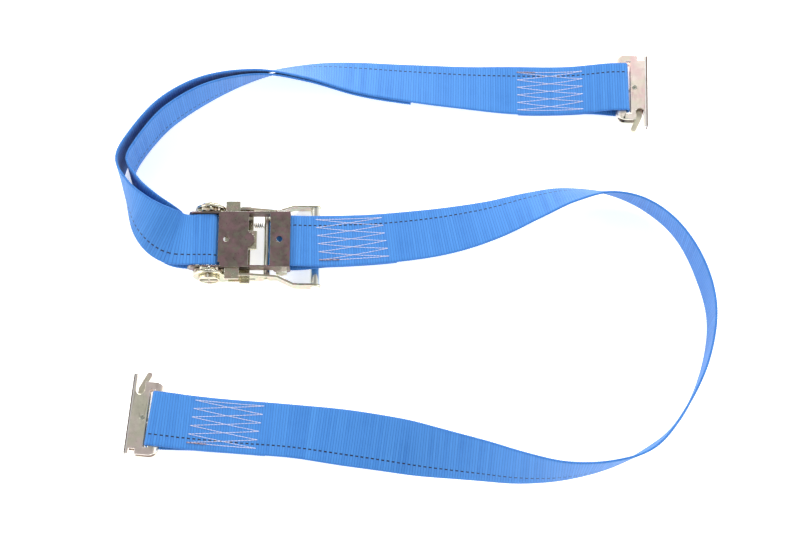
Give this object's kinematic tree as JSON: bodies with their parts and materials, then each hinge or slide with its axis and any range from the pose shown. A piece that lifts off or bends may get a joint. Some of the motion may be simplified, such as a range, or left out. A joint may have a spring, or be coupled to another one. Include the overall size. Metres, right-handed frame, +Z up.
{
  "type": "ratchet tie down",
  "caption": "Ratchet tie down with looped webbing, a slotted take-up spool, a folding handle, sliding pawls and a spring latch track fitting on each end.",
  "frame": {"origin": "on the floor, at the middle of the whole layout seen from above", "axes": "+X along the straps, from the buckle towards the big loop; +Z up from the floor, through the buckle's base"},
  "size_m": [0.559, 0.4262, 0.0541],
  "materials": {
    "webbing": "woven polyester with ribs across it, stitched laps and a dashed black tracer",
    "dark_zinc": "zinc with a brown to purple chromate film",
    "yellow_zinc": "pale yellow zinc with faint green and pink",
    "fitting_zinc": "pale yellow zinc with a pinkish olive film",
    "bright_zinc": "bright zinc",
    "spring_steel": "plain drawn wire"
  },
  "bodies": {
    "frame": {"frame": "dark_zinc", "anchor_bolt": "bright_zinc", "anchor_nut": "bright_zinc", "anchor_sleeve": "bright_zinc", "lock_spring": "spring_steel", "fixed_strap": "webbing", "adjustable_strap": "webbing", "upper_fitting_body": "fitting_zinc", "upper_fitting_rivet": "bright_zinc", "upper_fitting_spring": "spring_steel", "lower_fitting_body": "fitting_zinc", "lower_fitting_rivet": "bright_zinc", "lower_fitting_spring": "spring_steel"},
    "spool": {"spool_half_upper": "yellow_zinc", "spool_half_lower": "yellow_zinc", "ratchet_wheel_near": "yellow_zinc", "ratchet_wheel_far": "yellow_zinc", "spool_collar_near": "yellow_zinc", "spool_collar_far": "yellow_zinc", "split_pin_near": "spring_steel", "split_pin_far": "spring_steel"},
    "lock_pawl": {"lock_pawl": "yellow_zinc"},
    "handle": {"handle_plate_near": "yellow_zinc", "handle_plate_far": "yellow_zinc", "handle_tie": "bright_zinc", "grip_tube": "bright_zinc", "grip_rivet": "bright_zinc", "drive_spring": "spring_steel"},
    "drive_pawl": {"drive_pawl": "yellow_zinc"},
    "upper_latch": {"upper_fitting_latch": "fitting_zinc"},
    "lower_latch": {"lower_fitting_latch": "fitting_zinc"}
  },
  "joints": [
    {"name": "spool_spin", "type": "hinge", "parent": "frame", "child": "spool", "pos_m": [-0.191, 0.0155, 0.0175], "axis": [0, 1, 0], "continuous": true, "deforming": ["adjustable_strap"]},
    {"name": "handle_pivot", "type": "hinge", "parent": "frame", "child": "handle", "pos_m": [-0.191, 0.0155, 0.0175], "axis": [0, 1, 0], "range_deg": [0, 140]},
    {"name": "lock_slide", "type": "slide", "parent": "frame", "child": "lock_pawl", "axis": [1, 0, 0], "range_m": [0, 0.004], "stiffness_N_per_m": 300, "springref_m": -0.004, "deforming": ["lock_spring"]},
    {"name": "drive_slide", "type": "slide", "parent": "handle", "child": "drive_pawl", "axis": [1, 0, 0], "range_m": [0, 0.004], "stiffness_N_per_m": 300, "springref_m": -0.004, "deforming": ["drive_spring"]},
    {"name": "upper_latch_swing", "type": "hinge", "parent": "frame", "child": "upper_latch", "pos_m": [0.2179, 0.17857, 0.0082], "axis": [0, 0, -1], "range_deg": [0, 10], "stiffness_Nm_per_rad": 0.1, "springref_deg": -8.59, "deforming": ["upper_fitting_spring"]},
    {"name": "lower_latch_swing", "type": "hinge", "parent": "frame", "child": "lower_latch", "pos_m": [-0.24807, -0.15322, 0.0082], "axis": [0, 0, -1], "range_deg": [0, 10], "stiffness_Nm_per_rad": 0.1, "springref_deg": -8.59, "deforming": ["lower_fitting_spring"]}
  ]
}
